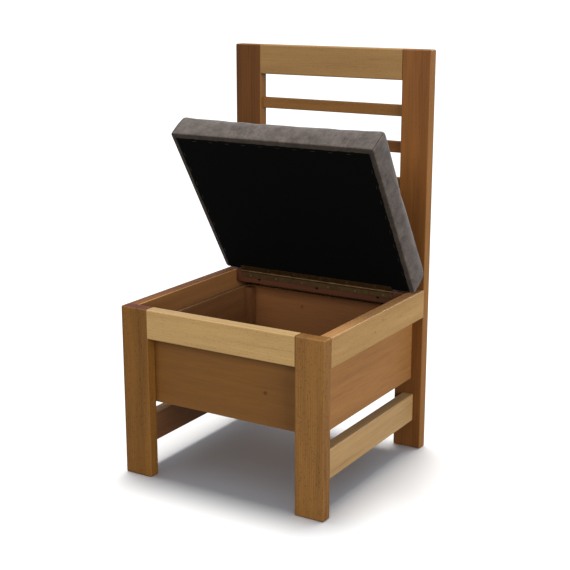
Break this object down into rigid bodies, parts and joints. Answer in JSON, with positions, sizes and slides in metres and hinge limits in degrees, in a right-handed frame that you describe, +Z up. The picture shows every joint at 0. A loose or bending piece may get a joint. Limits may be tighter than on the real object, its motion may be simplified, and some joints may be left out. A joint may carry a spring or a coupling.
{
  "type": "storage chair",
  "caption": "One-seat wooden chair with a slatted back, a storage box under the seat and a padded seat lid that hinges open at the rear.",
  "frame": {"origin": "on the floor, under the middle of the chair's footprint", "axes": "+X to the right seen from the front, +Y to the back, +Z up; the front faces -Y"},
  "size_m": [0.5, 0.48, 0.91],
  "materials": {
    "oiled_beech_dark": "oiled, satin",
    "oiled_beech_light": "oiled, satin",
    "stained_panel": "stained, satin",
    "raw_beech": "sawn, raw",
    "plywood": "sanded, raw",
    "seat_fabric": "suede-look woven cover",
    "foam": "open-cell foam",
    "black_nonwoven": "spun-bonded dust cloth",
    "hinge_brass": "rolled, dulled",
    "zinc_steel": "zinc plated",
    "black_screw": "black phosphate"
  },
  "bodies": {
    "frame": {"front_leg_left": "oiled_beech_dark", "front_leg_right": "oiled_beech_dark", "rear_post_left": "oiled_beech_dark", "rear_post_right": "oiled_beech_dark", "back_slat_upper": "oiled_beech_dark", "back_slat_middle": "oiled_beech_dark", "back_slat_lower": "oiled_beech_dark", "front_rail": "oiled_beech_light", "rear_rail": "oiled_beech_light", "back_top_rail": "oiled_beech_light", "side_rail_left": "oiled_beech_light", "side_rail_right": "oiled_beech_light", "stretcher_left": "oiled_beech_light", "stretcher_right": "oiled_beech_light", "hinge_batten": "stained_panel", "box_front_panel": "stained_panel", "box_back_panel": "stained_panel", "box_side_panel_left": "stained_panel", "box_side_panel_right": "stained_panel", "box_corner_block_front_left": "stained_panel", "box_corner_block_front_right": "stained_panel", "box_corner_block_rear_left": "stained_panel", "box_corner_block_rear_right": "stained_panel", "box_floor": "plywood", "seat_rail_dowels": "raw_beech", "top_rail_dowels": "raw_beech", "stretcher_dowels": "raw_beech", "hinge_frame_leaf": "hinge_brass", "hinge_pin": "zinc_steel", "hinge_frame_screws": "zinc_steel", "batten_screws": "black_screw"},
    "lid": {"seat_cover": "seat_fabric", "seat_foam": "foam", "seat_board": "plywood", "dust_cloth": "black_nonwoven", "dust_cloth_staples": "zinc_steel", "hinge_lid_leaf": "hinge_brass", "hinge_lid_screws": "zinc_steel"}
  },
  "joints": [
    {"name": "lid_hinge", "type": "hinge", "parent": "frame", "child": "lid", "pos_m": [-0.005, 0.1635, 0.3795], "axis": [-1, 0, 0], "range_deg": [-58, 0]}
  ]
}
